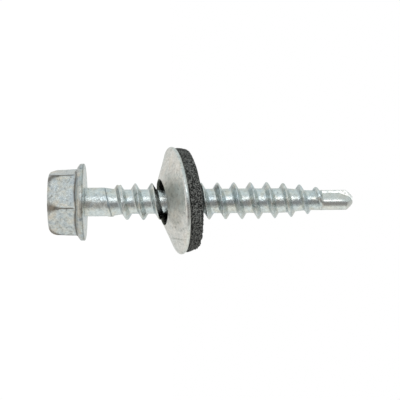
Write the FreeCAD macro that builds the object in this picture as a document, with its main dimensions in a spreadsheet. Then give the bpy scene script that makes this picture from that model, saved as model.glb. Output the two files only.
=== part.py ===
"""Self-drilling hex washer head screw with its bonded sealing washer.

Three pieces: the forged and rolled steel screw, a dished metal washer, and the rubber seal
bonded under it. The washer has slid part way along the thread and leans on the shank.

Frame: millimetres. The origin is the centre of the head's top face, +Z runs along the screw
to its drill point, so the screw stands on its head. +X is where each thread turn is counted.
"""
import FreeCAD, Part
import os
import Sketcher

V = FreeCAD.Vector

# Driving sizes in millimetres, degrees and turns
SIZES = {
    # Hexagon head
    "hex_across_flats": 8.0,
    "hex_draft": 1.8,
    "hex_turn": 40.0,
    "crown_top_diameter": 7.4,
    "crown_depth": 1.1,
    "head_height": 4.65,
    # Flange forged under the hexagon
    "flange_diameter": 10.0,
    "flange_thickness": 0.9,
    "flange_slope": 12.0,
    "flange_bevel": 0.22,
    # Shank, core and drill blank
    "screw_length": 34.7,
    "shank_diameter": 3.75,
    "plain_length": 3.0,
    "rollout_length": 1.5,
    "core_diameter": 3.2,
    "nose_length": 5.2,
    "nose_taper_length": 3.7,
    "nose_diameter": 2.6,
    # Thread, right-handed
    "thread_diameter": 4.8,
    "thread_pitch": 2.13,
    "thread_angle": 60.0,
    "thread_land": 0.085,
    "thread_offset": 0.31,
    "runout_height": 0.03,
    "runout_turns": 1.0,
    "lead_turns": 3.0,
    "lead_height": 0.15,
    "lead_overlap": 0.35,
    # Forged drill point
    "drill_diameter": 2.7,
    "drill_length": 4.05,
    "point_angle": 104.0,
    "point_offset": 0.25,
    "point_flat": 0.2,
    "flute_turn": 20.0,
    "flute_angle": 90.0,
    "flute_web": 0.82,
    "flute_runout": 0.4,
    # Dished metal washer
    "washer_diameter": 14.0,
    "washer_gauge": 0.8,
    "washer_slope": 22.2,
    "washer_clearance": 0.23,
    # Rubber seal
    "seal_diameter": 13.3,
    "seal_depth": 4.09,
    "seal_bevel": 0.2,
    "seal_clearance": 0.08,
    # Where the washer sits on the shank, and how it leans
    "washer_station": 10.95,
    "washer_pivot_depth": 1.0,
    "washer_lean": 14.05,
    "washer_lean_turn": 112.6,
}

# How far a cutting outline runs past what it cuts
CUT_MARGIN = 0.4

# Heights up the screw, from the head's top face
FLANGE_TOP = "(sizes.head_height - sizes.flange_thickness)"
BEARING = "sizes.head_height"
TIP = "(sizes.head_height + sizes.screw_length)"
DRILL_STEP = f"({TIP} - sizes.drill_length)"
PLAIN_END = f"({BEARING} + sizes.plain_length)"
NOSE_START = f"({DRILL_STEP} - sizes.nose_length)"

# Thread stations, each at the middle of the crest
RUNOUT_START = f"({PLAIN_END} + sizes.thread_offset)"
THREAD_START = f"({RUNOUT_START} + sizes.runout_turns * sizes.thread_pitch)"
LEAD_END = f"({DRILL_STEP} + sizes.lead_overlap)"
LEAD_START = f"({LEAD_END} - sizes.lead_turns * sizes.thread_pitch)"
THREAD_RADIUS = "(sizes.thread_diameter / 2)"

# Radius of the washer's hole: the leaning hole has to pass the thread on both faces
LEAN_DEPTH = "max(sizes.washer_pivot_depth; sizes.washer_gauge)"
WASHER_HOLE = (
    f"({THREAD_RADIUS} / cos(sizes.washer_lean) + {LEAN_DEPTH} * tan(sizes.washer_lean)"
    " + sizes.washer_clearance)"
)


def make_sheet(doc):
    """Put the driving sizes in a sheet, one alias each."""
    sheet = doc.addObject("Spreadsheet::Sheet", "sizes")
    for row, (name, number) in enumerate(SIZES.items(), 1):
        sheet.set(f"A{row}", name)
        sheet.set(f"B{row}", str(number))
        sheet.setAlias(f"B{row}", name)
    doc.recompute()


def bind(item, place, expression, unit="mm"):
    """Bind a property or a constraint to sheet sizes."""
    item.setExpression(place, f"({expression}) * 1{unit}")


def origin_item(body, role):
    """Origin plane or axis of a body, found by its role."""
    return next(item for item in body.Origin.OriginFeatures if item.Role == role)


def make_sketch(body, name, role, turn=None, height=None, station=None):
    """Sketch on an origin plane, turned about the screw axis or lifted along it.

    height lifts a level sketch; station moves an upright sketch's own origin up the axis.
    """
    sketch = body.newObject("Sketcher::SketchObject", name)
    sketch.AttachmentSupport = [(origin_item(body, role), "")]
    sketch.MapMode = "FlatFace"
    if turn is not None:
        sketch.AttachmentOffset = FreeCAD.Placement(V(), FreeCAD.Rotation(V(0, 1, 0), 1))
        bind(sketch, "AttachmentOffset.Rotation.Angle", turn, "deg")
    if height is not None:
        bind(sketch, "AttachmentOffset.Base.z", height)
    if station is not None:
        bind(sketch, "AttachmentOffset.Base.y", station)
    return sketch


def fix_corner(sketch, side, corner):
    """Hold the start of a side at a corner given by two expressions."""
    axes = (("DistanceX", corner[0], -2), ("DistanceY", corner[1], -1))
    for kind, expression, axis in axes:
        if expression == "0":
            sketch.addConstraint(Sketcher.Constraint("PointOnObject", side, 1, axis))
            continue
        number = float(sketch.evalExpression(expression))
        index = sketch.addConstraint(Sketcher.Constraint(kind, side, 1, number))
        bind(sketch, f"Constraints[{index}]", expression)


def outline(sketch, corners):
    """Closed loop of straight sides through corners given as pairs of expressions."""
    points = [V(*(float(sketch.evalExpression(value)) for value in pair), 0) for pair in corners]
    count = len(points)
    for side in range(count):
        following = (side + 1) % count
        sketch.addGeometry(Part.LineSegment(points[side], points[following]))
    for side in range(count):
        following = (side + 1) % count
        sketch.addConstraint(Sketcher.Constraint("Coincident", side, 2, following, 1))
    for side, corner in enumerate(corners):
        fix_corner(sketch, side, corner)


def turned(body, kind, name, sketch):
    """Full turn of an outline about the screw axis: a Revolution adds, a Groove cuts."""
    feature = body.newObject(f"PartDesign::{kind}", name)
    feature.Profile = sketch
    feature.ReferenceAxis = (sketch, ["V_Axis"])
    feature.Angle = 360


def hexagon_head(body):
    """Hexagon with forging draft, its corners turned down to a crown at the top face."""
    draft = f"{FLANGE_TOP} * tan(sizes.hex_draft)"
    corner = f"((sizes.hex_across_flats / 2 - {draft}) / cos(30))"
    sketch = make_sketch(body, "hexagon", "XY_Plane")
    turns = [f"(sizes.hex_turn + {60 * number})" for number in range(6)]
    outline(sketch, [(f"{corner} * cos{turn}", f"{corner} * sin{turn}") for turn in turns])
    pad = body.newObject("PartDesign::Pad", "hexagon_pad")
    pad.Profile = sketch
    bind(pad, "Length", FLANGE_TOP)
    bind(pad, "TaperAngle", "sizes.hex_draft", "deg")
    crown = make_sketch(body, "crown", "XZ_Plane")
    top = "sizes.crown_top_diameter / 2"
    reach = "(sizes.hex_across_flats / 2 / cos(30))"
    outline(
        crown,
        [
            (top, "0"),
            (reach, "sizes.crown_depth"),
            (f"{reach} + {CUT_MARGIN}", "sizes.crown_depth"),
            (f"{reach} + {CUT_MARGIN}", f"-{CUT_MARGIN}"),
            (top, f"-{CUT_MARGIN}"),
        ],
    )
    turned(body, "Groove", "crown_turning", crown)


def screw_blank(body):
    """Flange, plain shank, thread core and drill blank, turned as one profile."""
    flange = "sizes.flange_diameter / 2"
    bevel = "sizes.flange_bevel"
    shank = "sizes.shank_diameter / 2"
    core = "sizes.core_diameter / 2"
    nose = "sizes.nose_diameter / 2"
    drill = "sizes.drill_diameter / 2"
    sketch = make_sketch(body, "blank", "XZ_Plane")
    outline(
        sketch,
        [
            ("0", f"{FLANGE_TOP} - {flange} * tan(sizes.flange_slope)"),
            (flange, FLANGE_TOP),
            (flange, f"{BEARING} - {bevel}"),
            (f"{flange} - {bevel}", BEARING),
            (shank, BEARING),
            (shank, PLAIN_END),
            (core, f"{PLAIN_END} + sizes.rollout_length"),
            (core, NOSE_START),
            (nose, f"{NOSE_START} + sizes.nose_taper_length"),
            (nose, DRILL_STEP),
            (drill, DRILL_STEP),
            (drill, TIP),
            ("0", TIP),
        ],
    )
    turned(body, "Revolution", "blank_turning", sketch)


def rolled_thread(body):
    """One helical tooth; grooves then turn its crest down at the run-out and at the lead."""
    sketch = make_sketch(body, "tooth", "XZ_Plane", station=RUNOUT_START)
    root = "((sizes.thread_pitch - sizes.thread_land) / 2)"
    sunk = f"({THREAD_RADIUS} - {root} / tan(sizes.thread_angle / 2))"
    outline(sketch, [(THREAD_RADIUS, "0"), (sunk, root), (sunk, f"-{root}")])
    helix = body.newObject("PartDesign::AdditiveHelix", "thread")
    helix.Profile = sketch
    helix.ReferenceAxis = (sketch, ["V_Axis"])
    helix.Mode = "pitch-height-angle"
    bind(helix, "Pitch", "sizes.thread_pitch")
    bind(helix, "Height", f"{LEAD_END} - {RUNOUT_START}")
    helix.Angle = 0
    runout_low = "(sizes.shank_diameter / 2 + sizes.runout_height)"
    crest_path(
        body, "runout",
        [(THREAD_RADIUS, THREAD_START), (runout_low, RUNOUT_START)],
        f"{RUNOUT_START} - sizes.thread_pitch / 2",
    )
    lead_low = "(sizes.drill_diameter / 2 + sizes.lead_height)"
    crest_path(
        body, "lead",
        [(THREAD_RADIUS, LEAD_START), (lead_low, LEAD_END)],
        f"{LEAD_END} + sizes.thread_pitch / 2",
    )


def crest_path(body, name, slope, end):
    """Groove over a sloping crest line, which goes on level to its end height."""
    (_, high_station), (low, _) = slope
    outer = f"({THREAD_RADIUS} + {CUT_MARGIN})"
    sketch = make_sketch(body, f"{name}_envelope", "XZ_Plane")
    outline(sketch, slope + [(low, end), (outer, end), (outer, high_station)])
    turned(body, "Groove", f"{name}_turning", sketch)


def flute_section(body, name, height, apex):
    """V notch across the drill, open outwards, with its apex at a radius."""
    sketch = make_sketch(body, name, "XY_Plane", height=height)
    outer = f"(sizes.drill_diameter / 2 + {CUT_MARGIN})"
    half = f"(({outer} - {apex}) * tan(sizes.flute_angle / 2))"
    along, across = "cos(sizes.flute_turn)", "sin(sizes.flute_turn)"
    outline(
        sketch,
        [
            (f"{apex} * {along}", f"{apex} * {across}"),
            (f"{outer} * {along} + {half} * {across}", f"{outer} * {across} - {half} * {along}"),
            (f"{outer} * {along} - {half} * {across}", f"{outer} * {across} + {half} * {along}"),
        ],
    )
    return sketch


def flute_cuts(body):
    """Straight flute down from the tip, then its run-out to the drill's step."""
    web = "(sizes.flute_web / 2)"
    straight_end = f"({DRILL_STEP} + sizes.flute_runout)"
    flute = body.newObject("PartDesign::Pocket", "flute")
    flute.Profile = flute_section(body, "flute_notch", TIP, web)
    bind(flute, "Length", f"{TIP} - {straight_end}")
    clear = f"(sizes.drill_diameter / 2 + {CUT_MARGIN / 4})"
    runout = body.newObject("PartDesign::SubtractiveLoft", "flute_runout")
    runout.Profile = flute_section(body, "flute_end", straight_end, web)
    runout.Sections = [flute_section(body, "flute_exit", DRILL_STEP, clear)]
    runout.Ruled = True
    return [flute, runout]


def lip_relief(body):
    """Half cone about an axis set off to one side, so that the surface falls behind the lip."""
    sketch = make_sketch(body, "lip_section", "XZ_Plane", turn="sizes.flute_turn")
    inner = "(sizes.point_offset + sizes.point_flat)"
    reach = f"(sizes.drill_diameter / 2 + {CUT_MARGIN})"
    outer = f"({inner} + {reach})"
    outline(
        sketch,
        [
            (inner, TIP),
            (outer, f"{TIP} - {reach} / tan(sizes.point_angle / 2)"),
            (outer, f"{TIP} + {CUT_MARGIN}"),
            (inner, f"{TIP} + {CUT_MARGIN}"),
        ],
    )
    offset = float(sketch.evalExpression("sizes.point_offset"))
    tip = float(sketch.evalExpression(TIP))
    axis = sketch.addGeometry(Part.LineSegment(V(offset, 0, 0), V(offset, tip, 0)), True)
    fix_corner(sketch, axis, ("sizes.point_offset", "0"))
    sketch.addConstraint(Sketcher.Constraint("Vertical", axis))
    length = sketch.addConstraint(Sketcher.Constraint("Distance", axis, tip))
    bind(sketch, f"Constraints[{length}]", TIP)
    relief = body.newObject("PartDesign::Groove", "relief")
    relief.Profile = sketch
    relief.ReferenceAxis = (sketch, ["Axis0"])
    relief.Angle = 180
    relief.Reversed = True
    return relief


def drill_point(doc, body):
    """Flute and lip relief for one cutting lip, then the same for the other."""
    cuts = flute_cuts(body) + [lip_relief(body)]
    doc.recompute()
    pair = body.newObject("PartDesign::PolarPattern", "drill_halves")
    pair.Originals = cuts
    pair.Axis = (origin_item(body, "Z_Axis"), [""])
    pair.Angle = 360
    pair.Occurrences = 2
    body.Tip = pair


def make_screw(doc):
    """Head, blank, thread and drill point, in the order that the screw is made."""
    body = doc.addObject("PartDesign::Body", "screw")
    hexagon_head(body)
    screw_blank(body)
    rolled_thread(body)
    doc.recompute()
    drill_point(doc, body)
    doc.recompute()
    return body


def lean(body):
    """Set a washer piece on the screw axis, leaning about its pivot."""
    tilt, turn = "sizes.washer_lean", "sizes.washer_lean_turn"
    back = f"sizes.washer_pivot_depth * sin({tilt})"
    body.setExpression(
        "Placement",
        f"placement(vector(-{back} * cos({turn}); -{back} * sin({turn});"
        f" {BEARING} + sizes.washer_station - sizes.washer_pivot_depth * cos({tilt}));"
        f" rotation(vector(-sin({turn}); cos({turn}); 0); {tilt}))",
    )


def washer_underside(radius):
    """Depth of the dished sheet's underside at a radius, along the washer's own axis."""
    return (
        f"(sizes.washer_gauge / cos(sizes.washer_slope)"
        f" + ({radius} - {WASHER_HOLE}) * tan(sizes.washer_slope))"
    )


def make_washer(doc):
    """Dished sheet of even gauge with a pierced hole."""
    rim = "sizes.washer_diameter / 2"
    rim_top = f"(({rim} - {WASHER_HOLE}) * tan(sizes.washer_slope))"
    body = doc.addObject("PartDesign::Body", "dished_washer")
    sketch = make_sketch(body, "washer_section", "XZ_Plane")
    outline(
        sketch,
        [
            (WASHER_HOLE, "0"),
            (rim, rim_top),
            (rim, washer_underside(rim)),
            (WASHER_HOLE, washer_underside(WASHER_HOLE)),
        ],
    )
    turned(body, "Revolution", "washer_turning", sketch)
    lean(body)
    return body


def make_seal(doc):
    """Rubber that fills the dish and stands proud of it; its hole follows the upright shank."""
    side = "sizes.seal_diameter / 2"
    bevel = "sizes.seal_bevel"
    body = doc.addObject("PartDesign::Body", "seal_blank")
    sketch = make_sketch(body, "seal_section", "XZ_Plane")
    outline(
        sketch,
        [
            ("0", washer_underside(WASHER_HOLE)),
            (WASHER_HOLE, washer_underside(WASHER_HOLE)),
            (side, washer_underside(side)),
            (side, f"sizes.seal_depth - {bevel}"),
            (f"{side} - {bevel}", "sizes.seal_depth"),
            ("0", "sizes.seal_depth"),
        ],
    )
    turned(body, "Revolution", "seal_turning", sketch)
    lean(body)
    passage = doc.addObject("Part::Cylinder", "shank_passage")
    bind(passage, "Radius", f"{THREAD_RADIUS} + sizes.seal_clearance")
    bind(passage, "Height", "sizes.washer_diameter")
    station = f"{BEARING} + sizes.washer_station"
    bind(passage, "Placement.Base.z", f"{station} - sizes.washer_diameter / 2")
    seal = doc.addObject("Part::Cut", "epdm_seal")
    seal.Base = body
    seal.Tool = passage
    return seal


def check(doc, parts):
    """Stop at a failed object or a bad solid, before any file is written."""
    for item in doc.Objects:
        if "Invalid" in item.State or "Error" in item.State:
            raise RuntimeError(f"{item.Name} failed: {item.State}")
    for item in parts:
        shape = item.Shape
        if shape.isNull() or not shape.isValid() or len(shape.Solids) != 1:
            raise RuntimeError(f"{item.Label} isn't one valid solid")


def main():
    doc = FreeCAD.newDocument("self_drilling_screw")
    make_sheet(doc)
    parts = [make_screw(doc), make_washer(doc), make_seal(doc)]
    doc.recompute()
    check(doc, parts)
    os.makedirs("parts", exist_ok=True)
    for item in parts:
        item.Shape.exportStep(f"parts/{item.Label}.step")
        box = item.Shape.BoundBox
        print(item.Label, round(item.Shape.Volume, 2), "mm3, z", round(box.ZMin, 3), round(box.ZMax, 3))


main()
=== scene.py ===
"""Self-drilling hex washer head screw with its bonded sealing washer.

Lengths in this script are millimetres until mesh_object turns them into metres. The screw
stands on its head at the origin, with +Z towards the drill tip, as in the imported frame. The
camera is rolled by a quarter turn, so -X is the top of the image and +Z is its right.
"""
import math
from typing import NamedTuple

import bmesh
import bpy
import numpy as np
from mathutils import Matrix, Vector, noise


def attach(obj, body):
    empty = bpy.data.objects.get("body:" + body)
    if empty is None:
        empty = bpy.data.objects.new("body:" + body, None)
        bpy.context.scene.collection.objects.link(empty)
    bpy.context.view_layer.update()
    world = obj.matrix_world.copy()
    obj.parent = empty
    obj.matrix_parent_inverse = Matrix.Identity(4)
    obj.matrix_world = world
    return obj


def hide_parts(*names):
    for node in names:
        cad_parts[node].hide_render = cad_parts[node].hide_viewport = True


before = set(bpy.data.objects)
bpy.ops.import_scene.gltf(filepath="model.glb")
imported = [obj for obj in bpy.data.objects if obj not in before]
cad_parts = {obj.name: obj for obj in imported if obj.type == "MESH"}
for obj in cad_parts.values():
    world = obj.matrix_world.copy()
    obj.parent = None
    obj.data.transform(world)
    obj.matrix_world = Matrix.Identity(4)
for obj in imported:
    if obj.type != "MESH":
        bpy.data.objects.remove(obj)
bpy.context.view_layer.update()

MM = 0.001
TURN = 2 * math.pi

# Hexagon and its rounded crown
APOTHEM = 4.0
HEX_DRAFT = math.radians(1.8)
HEX_SECTOR = math.radians(60)
HEX_TURN = math.radians(40.0)
HEX_CORNER_ROUND = 0.24
HEX_FOOT = 3.5
CROWN_TOP_RADIUS = 3.68
CROWN_DEPTH = 1.3
CROWN_REACH = 4.62
CROWN_ROUND = 3.0
CROWN_EDGE_HEIGHT = 0.17
CROWN_EDGE_INSET = 0.10
CROWN_BLEND = 0.03

# Flange
FLANGE_TOP = 3.91
BEARING = 4.65
FLANGE_RADIUS = 5.0
FLANGE_EDGE_ROUND = 0.28
FLANGE_LOWER_ROUND = 0.7 * FLANGE_EDGE_ROUND
FLANGE_SLOPE = math.radians(20.0)
FLANGE_START = 0.2
SHANK_FILLET = 0.22

# Shank, core and drill
SHANK_RADIUS = 1.875
CORE_RADIUS = 1.6
NOSE_RADIUS = 1.3
DRILL_RADIUS = 1.35
LENGTH = 34.7
TIP = BEARING + LENGTH
DRILL_STEP = TIP - 4.05
NOSE_START = DRILL_STEP - 5.2
NOSE_TAPER = 3.7

# The plain shank ends at this height over the bearing face, on a slant round the screw
PLAIN_END = 2.985
PLAIN_SLANT = 0.415

# Thread: a crest passes +X at this height over the bearing face, plus whole pitches
THREAD_RADIUS = 2.4
PITCH = 2.13
FIRST_CREST = 1.18
FLANK = math.tan(math.radians(30.0))

# Washer and seal, along their own axis from the hole's upper edge
WASHER_HOLE = 2.954
WASHER_RIM = 7.0
WASHER_GAUGE = 0.68
WASHER_SLOPE = math.radians(22.2)
WASHER_DROP = WASHER_GAUGE / math.cos(WASHER_SLOPE)
WASHER_RISE = math.tan(WASHER_SLOPE)
DISH_LIFT = 0.13
DISH_LIFT_END = WASHER_RIM - 0.6
SEAL_TOP_RADIUS = 6.8
SEAL_FACE_RADIUS = 6.5
SEAL_DEPTH = 3.97
SEAL_HOLE = 2.48

# How the washer leans: its pivot on the screw's axis, the angle, and the way it tips
PIVOT_DEPTH = 1.0
WASHER_STATION = 10.95
LEAN = math.radians(14.05)
LEAN_TURN = math.radians(112.6)

# Unevenness of the surfaces, as pairs of height and rate over the piece
FORGED_WAVES = ((0.022, 0.9), (0.010, 2.7))
ROLLED_WAVES = ((0.010, 1.7), (0.006, 5.0))
SHEET_WAVES = ((0.035, 0.55), (0.010, 1.8))
# The next waves vary the painted dark reflection on the washer; the last ones shape the rubber
REFLECTION_PATCH_WAVES = ((1.3, 0.45), (0.5, 1.4))
RUBBER_WAVES = ((0.045, 1.6), (0.035, 5.5))

# Degrees between faces over which an edge is shaded sharp
HEAD_SHARP = 50
THREAD_SHARP = 55
DRILL_SHARP = 18
WASHER_SHARP = 40
SEAL_SHARP = 60

# Radius of the small ring that closes the head on its axis, and lengths in metres under which
# points are merged and faces dropped
HUB = 0.02
MERGE = 2e-7
DEGENERATE = 1e-7


# Helpers for shapes

def clipped(value):
    """Value kept between 0 and 1."""
    return max(0.0, min(1.0, value))


def ripple(point, waves):
    """Sum of smooth noises of the given heights and rates at a point."""
    return sum(height * noise.noise(point * rate) for height, rate in waves)


def polar(radius, angle, height):
    """Point at a radius and an angle about Z."""
    return Vector((radius * math.cos(angle), radius * math.sin(angle), height))


def moved_out(point, outward, height):
    """Point moved away from the Z axis and set to a height."""
    factor = 1 + outward / math.hypot(point.x, point.y)
    return Vector((point.x * factor, point.y * factor, height))


def smooth_min(a, b, width):
    """Lesser of two lengths, blended over a width."""
    return 0.5 * (a + b - math.sqrt((a - b) ** 2 + width ** 2))


def arc_points(centre, radius, start, end, steps):
    """Points of an arc in the (radius, height) plane, angles in degrees."""
    points = []
    for step in range(steps + 1):
        angle = math.radians(start + (end - start) * step / steps)
        points.append((centre[0] + radius * math.cos(angle), centre[1] + radius * math.sin(angle)))
    return points


def ring_faces(rings, count):
    """Quads between neighbouring closed rings of count points each."""
    faces = []
    for row in range(rings - 1):
        low, high = row * count, (row + 1) * count
        for column in range(count):
            right = (column + 1) % count
            faces.append((low + column, low + right, high + right, high + column))
    return faces


def capped_faces(rings, count):
    """Faces of a stack of rings with its first and last ring closed."""
    first = tuple(reversed(range(count)))
    last = tuple(range((rings - 1) * count, rings * count))
    return ring_faces(rings, count) + [first, last]


def clean_and_shade(mesh, sharp_angle):
    """Merge double points, turn the faces outward, and shade smooth between sharp edges."""
    work = bmesh.new()
    work.from_mesh(mesh)
    bmesh.ops.remove_doubles(work, verts=work.verts, dist=MERGE)
    bmesh.ops.dissolve_degenerate(work, edges=work.edges, dist=DEGENERATE)
    bmesh.ops.recalc_face_normals(work, faces=work.faces)
    for face in work.faces:
        face.smooth = True
    for edge in work.edges:
        if edge.is_manifold and edge.calc_face_angle(0) > math.radians(sharp_angle):
            edge.smooth = False
    work.to_mesh(mesh)
    work.free()


def add_object(name, data):
    """New object in the scene."""
    item = bpy.data.objects.new(name, data)
    bpy.context.scene.collection.objects.link(item)
    return item


def mesh_object(name, points, faces, body, sharp_angle, painted_shade_and_dirt):
    """Mesh object from millimetre points, riding on a body.

    The last argument gives each point's share of darkening, which the materials read: painted
    shade and a painted dark reflection, a plain darkening of the flange, and the washer's real
    pits and scratch.
    """
    mesh = bpy.data.meshes.new(name)
    mesh.from_pydata([Vector(p) * MM for p in points], [], faces)
    layer = mesh.attributes.new("painted_shade_and_dirt", "FLOAT", "POINT")
    layer.data.foreach_set("value", np.asarray(painted_shade_and_dirt, dtype=np.float32))
    clean_and_shade(mesh, sharp_angle)
    item = add_object(name, mesh)
    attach(item, body)
    return item


# Head

HEAD_TOP_RADII = (HUB, 1.0, 2.0, 2.8, 3.3, 3.5)
CROWN_HEIGHTS = (0.004, 0.02, 0.05, 0.1, 0.17, 0.25, 0.35, 0.45, 0.55, 0.68, 0.82, 0.96, 1.1, 1.25)
SIDE_HEIGHTS = (1.4, 1.6, 1.85, 2.1, 2.4, 2.7, 3.0, 3.25)
# Steps of the groove between side and flange: height over the flange's top, and distance out
GROOVE_STEPS = ((0.16, 0.0), (0.09, 0.015), (0.035, 0.05), (0.006, 0.11), (0.0, FLANGE_START))
GROOVE_LIMIT = FLANGE_RADIUS - 0.3
FLANGE_SHARES = (0.3, 0.6, 0.85)
FLANGE_START_LIMIT = 4.6
BEARING_RADII = (4.0, 3.2, 2.5, 2.12)
# How far the head's surface runs on inside the shank, and how far in from the shank's side
HEAD_SINK = 0.3
HEAD_INSET = 0.06
# Unevenness starts at this radius and is full a little further out; the foot only goes inward
FORGED_START = 2.2
FORGED_BLEND = 0.6
FOOT_HEIGHT = 0.02
# Painted shade on the crown and in the corners' wedges, whose half width in degrees shrinks with
# height
CROWN_PAINTED_SHADE = 0.8
CROWN_SHADE_BLEND = 0.08
CROWN_SHADE_START = 0.4
WEDGE_PAINTED_SHADE = 0.95
WEDGE_DEGREES = 13.0
WEDGE_SHRINK = 6.3
WEDGE_LEAST_DEGREES = 1.7
WEDGE_STEEPNESS = 1.6
# Painted shade in the groove under a height over the flange's top, and above it
GROOVE_PAINTED_SHADE = 0.9
GROOVE_SHADE_LIFT = 0.1
SIDE_FOOT_PAINTED_SHADE = 0.2
# Darkening of the flange: at its inner side, lost on the way out, and on the rim; painted shade in
# the dark line of the lower round, a faint darkening beside that line, with the line's two ends as
# shares of the round
FLANGE_DARKENING = 0.3
FLANGE_DARKENING_LOSS = 0.2
RIM_DARKENING = 0.2
RIM_LINE_PAINTED_SHADE = 0.55
BESIDE_LINE_DARKENING = 0.1
RIM_LINE_ENDS = (0.3, 0.9)


def angle_off_corner(angle):
    """Angle between a direction and the hexagon's nearest corner."""
    return abs((angle - HEX_TURN + HEX_SECTOR / 2) % HEX_SECTOR - HEX_SECTOR / 2)


def hexagon_radius(angle, height):
    """Radius of the drafted hexagon with rounded corners."""
    apothem = APOTHEM - (FLANGE_TOP - height) * math.tan(HEX_DRAFT)
    off_corner = angle_off_corner(angle)
    centre = (apothem - HEX_CORNER_ROUND) / math.cos(HEX_SECTOR / 2)
    along = centre + HEX_CORNER_ROUND * math.cos(HEX_SECTOR / 2)
    touch = math.atan2(HEX_CORNER_ROUND * math.sin(HEX_SECTOR / 2), along)
    if off_corner < touch:
        side = centre * math.sin(off_corner)
        return centre * math.cos(off_corner) + math.sqrt(HEX_CORNER_ROUND ** 2 - side ** 2)
    return apothem / math.cos(HEX_SECTOR / 2 - off_corner)


def crown_radius(height):
    """Radius of the rounded crown, which the hexagon's corners run into."""
    start, end = Vector((CROWN_TOP_RADIUS, 0)), Vector((CROWN_REACH, CROWN_DEPTH))
    chord = end - start
    inward = Vector((-chord.y, chord.x)).normalized()
    centre = (start + end) / 2 + inward * math.sqrt(CROWN_ROUND ** 2 - (chord.length / 2) ** 2)
    if height >= CROWN_DEPTH:
        return CROWN_REACH + (height - CROWN_DEPTH)
    return centre.x + math.sqrt(CROWN_ROUND ** 2 - (height - centre.y) ** 2)


def flange_height(radius):
    """Height of the flange's sloping top."""
    return FLANGE_TOP - (FLANGE_RADIUS - radius) * math.tan(FLANGE_SLOPE)


def corner_painted_shade(angle, height):
    """Painted shade on the crown, in a wedge at each corner and along the corner itself."""
    off_corner = math.degrees(angle_off_corner(angle))
    outside = hexagon_radius(angle, height) - crown_radius(height)
    crown = clipped(outside / CROWN_SHADE_BLEND) * min(1.0, height / CROWN_SHADE_START)
    wedge_width = max(WEDGE_LEAST_DEGREES, WEDGE_DEGREES - WEDGE_SHRINK * height)
    wedge = clipped(WEDGE_STEEPNESS * (1 - off_corner / wedge_width))
    return max(CROWN_PAINTED_SHADE * crown, WEDGE_PAINTED_SHADE * wedge)


def side_point(angle, height):
    """Radius, height and painted shade on the crown and the hexagon's sides."""
    crown = crown_radius(height)
    if height < CROWN_EDGE_HEIGHT:
        crown -= CROWN_EDGE_INSET * (1 - height / CROWN_EDGE_HEIGHT) ** 2
    radius = smooth_min(hexagon_radius(angle, height), crown, CROWN_BLEND)
    return radius, height, corner_painted_shade(angle, height)


def groove_point(angle, lift, out):
    """Radius, height and painted shade where the hexagon's side runs into the flange."""
    radius = min(GROOVE_LIMIT, hexagon_radius(angle, HEX_FOOT) + out)
    darkening = GROOVE_PAINTED_SHADE if lift < GROOVE_SHADE_LIFT else SIDE_FOOT_PAINTED_SHADE
    return radius, flange_height(radius) - lift, darkening


def flange_point(angle, share):
    """Radius, height and darkening on the flange's sloping top, by the share of the way out."""
    inner = min(FLANGE_START_LIMIT, hexagon_radius(angle, HEX_FOOT) + FLANGE_START)
    radius = (1 - share) * inner + share * (FLANGE_RADIUS - FLANGE_EDGE_ROUND)
    return radius, flange_height(radius), FLANGE_DARKENING - FLANGE_DARKENING_LOSS * share


def flange_edge():
    """Rings round the flange's two rounded edges: radius, height, darkening, and a line of painted
    shade.
    """
    edge = FLANGE_EDGE_ROUND
    upper = arc_points((FLANGE_RADIUS - edge, FLANGE_TOP + edge), edge, -75, 0, 7)
    rings = [(radius, height, RIM_DARKENING) for radius, height in upper]
    edge = FLANGE_LOWER_ROUND
    for radius, height in arc_points((FLANGE_RADIUS - edge, BEARING - edge), edge, 0, 90, 6):
        in_line = RIM_LINE_ENDS[0] < (BEARING - height) / edge < RIM_LINE_ENDS[1]
        rings.append((radius, height, RIM_LINE_PAINTED_SHADE if in_line else BESIDE_LINE_DARKENING))
    return rings


def under_head():
    """Radius, height and darkening of the rings on the bearing face and its fillet to the shank.
    """
    rings = [(radius, BEARING, 0.0) for radius in BEARING_RADII]
    centre = (SHANK_RADIUS + SHANK_FILLET, BEARING + SHANK_FILLET)
    for radius, height in arc_points(centre, SHANK_FILLET, -90, -180, 5):
        rings.append((radius, height, 0.0))
    inside = BEARING + HEAD_SINK
    return rings + [(SHANK_RADIUS - HEAD_INSET, inside, 0.0), (HUB, inside, 0.0)]


def head_angles():
    """Angles round the head, closer together at the six corners."""
    degrees = [0, 0.5, 1.0, 1.5, 2.0, 2.6, 3.4, 4.5, 6, 8, 10.5, 13.5, 17, 21, 25.5]
    offsets = sorted(set(degrees + [-value for value in degrees] + [30]))
    angles = []
    for corner in range(6):
        angles += [HEX_TURN + math.radians(60 * corner + offset) for offset in offsets]
    return angles


def forged(point, angle, radius):
    """Point moved in or out as on a forged head, but never outward at the foot."""
    bump = ripple(point, FORGED_WAVES)
    if point.z < FOOT_HEIGHT:
        bump = min(0.0, bump)
    outward = Vector((math.cos(angle), math.sin(angle), 0))
    return point + outward * bump * clipped((radius - FORGED_START) / FORGED_BLEND)


def make_head():
    """Crown, hexagon and flange in one closed surface, down to inside the shank."""
    angles = head_angles()
    rings = [[(radius, 0.0, 0.0)] * len(angles) for radius in HEAD_TOP_RADII]
    for height in CROWN_HEIGHTS + SIDE_HEIGHTS:
        rings.append([side_point(angle, height) for angle in angles])
    for lift, out in GROOVE_STEPS:
        rings.append([groove_point(angle, lift, out) for angle in angles])
    for share in FLANGE_SHARES:
        rings.append([flange_point(angle, share) for angle in angles])
    rings += [[level] * len(angles) for level in flange_edge() + under_head()]
    points = []
    painted_shade_and_dirt = []
    for ring in rings:
        for angle, (radius, height, darkening) in zip(angles, ring):
            points.append(forged(polar(radius, angle, height), angle, radius))
            painted_shade_and_dirt.append(darkening)
    faces = capped_faces(len(rings), len(angles))
    return mesh_object("screw_head", points, faces, "screw", HEAD_SHARP, painted_shade_and_dirt)


# Shank and thread

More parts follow.
